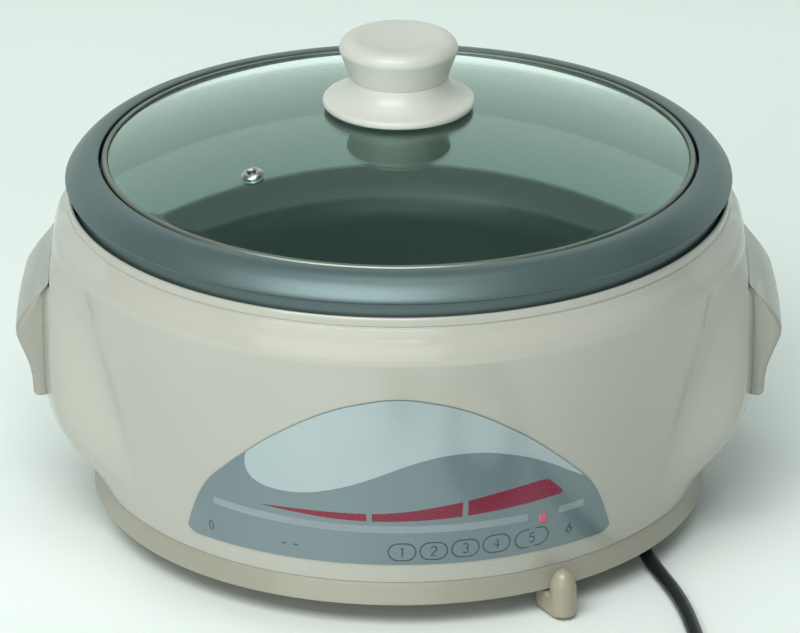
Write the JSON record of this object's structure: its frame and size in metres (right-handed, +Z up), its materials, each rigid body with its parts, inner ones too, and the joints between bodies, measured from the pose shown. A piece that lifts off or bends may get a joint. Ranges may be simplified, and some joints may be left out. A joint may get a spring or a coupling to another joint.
{
  "type": "electric hot pot with lid",
  "caption": "Round electric hot pot: glossy beige housing with ear handles, lift-out non-stick pot, domed glass lid with knob, sliding temperature lever and coiled mains lead.",
  "frame": {"origin": "on the table, at the centre of the round base, under the pot's axis", "axes": "+X towards the right-hand handle, -Y out of the front panel, +Z up along the pot's axis"},
  "size_m": [0.362, 0.4823, 0.236],
  "materials": {
    "tempered_glass": "clear, faint green",
    "rim_steel": "satin rolled band",
    "knob_plastic": "satin moulded",
    "brass": "turned",
    "silicone": "soft translucent",
    "zinc_steel": "zinc plated",
    "pot_coating": "speckled metallic grey non-stick coating",
    "housing_plastic": "high gloss moulded",
    "panel_film": "printed film",
    "lamp_red": "translucent",
    "base_plastic": "satin moulded",
    "foot_rubber": "matt",
    "cast_aluminium": "machined top, cast sides",
    "element_steel": "heat tinted",
    "shield_steel": "aluminised",
    "steatite": "unglazed",
    "white_plastic": "moulded",
    "wire_sleeve": "silicone and glass-fibre sleeves",
    "cord_pvc": "black PVC",
    "tie_plastic": "ribbed strap",
    "brass_nickel": "nickel plated"
  },
  "bodies": {
    "cooker_base": {"housing": "housing_plastic", "handle_left": "housing_plastic", "handle_right": "housing_plastic", "handle_screws": "zinc_steel", "control_panel": "panel_film", "lamp_lens": "lamp_red", "neon_lamp": "lamp_red", "base": "base_plastic", "base_screws": "zinc_steel", "feet": "foot_rubber", "foot_screws": "zinc_steel", "heating_plate": "cast_aluminium", "heating_tube": "element_steel", "plate_posts": "zinc_steel", "heat_shield": "shield_steel", "shield_nuts": "zinc_steel", "thermostat": "steatite", "thermostat_bracket": "zinc_steel", "terminal_block": "white_plastic", "thermal_fuse": "steatite", "wiring": "wire_sleeve", "earth_tag": "brass", "cord_clamp": "white_plastic", "clamp_screws": "zinc_steel", "cord_gland": "cord_pvc", "power_cord": "cord_pvc", "cord_coil": "cord_pvc", "cord_tail": "cord_pvc", "cord_tie": "tie_plastic", "plug_body": "cord_pvc", "plug_pins": "brass_nickel"},
    "pot": {"inner_pot": "pot_coating"},
    "lid": {"lid_glass": "tempered_glass", "lid_rim": "rim_steel", "steam_eyelet": "rim_steel", "knob_base": "knob_plastic", "knob_grip": "knob_plastic", "knob_insert": "brass", "knob_gasket": "silicone", "knob_washer": "zinc_steel", "knob_screw": "zinc_steel"},
    "lever": {"lever_shaft": "zinc_steel", "lever_arm": "zinc_steel", "lever_screw": "zinc_steel", "lever_cap": "housing_plastic"}
  },
  "joints": [
    {"name": "pot_lift", "type": "slide", "parent": "cooker_base", "child": "pot", "axis": [0, 0, 1], "range_m": [0, 0.12]},
    {"name": "lid_lift", "type": "slide", "parent": "pot", "child": "lid", "axis": [0, 0, 1], "range_m": [0, 0.12]},
    {"name": "temperature_lever", "type": "hinge", "parent": "cooker_base", "child": "lever", "pos_m": [0, 0, 0], "axis": [0, 0, 1], "range_deg": [-67, 2]}
  ]
}
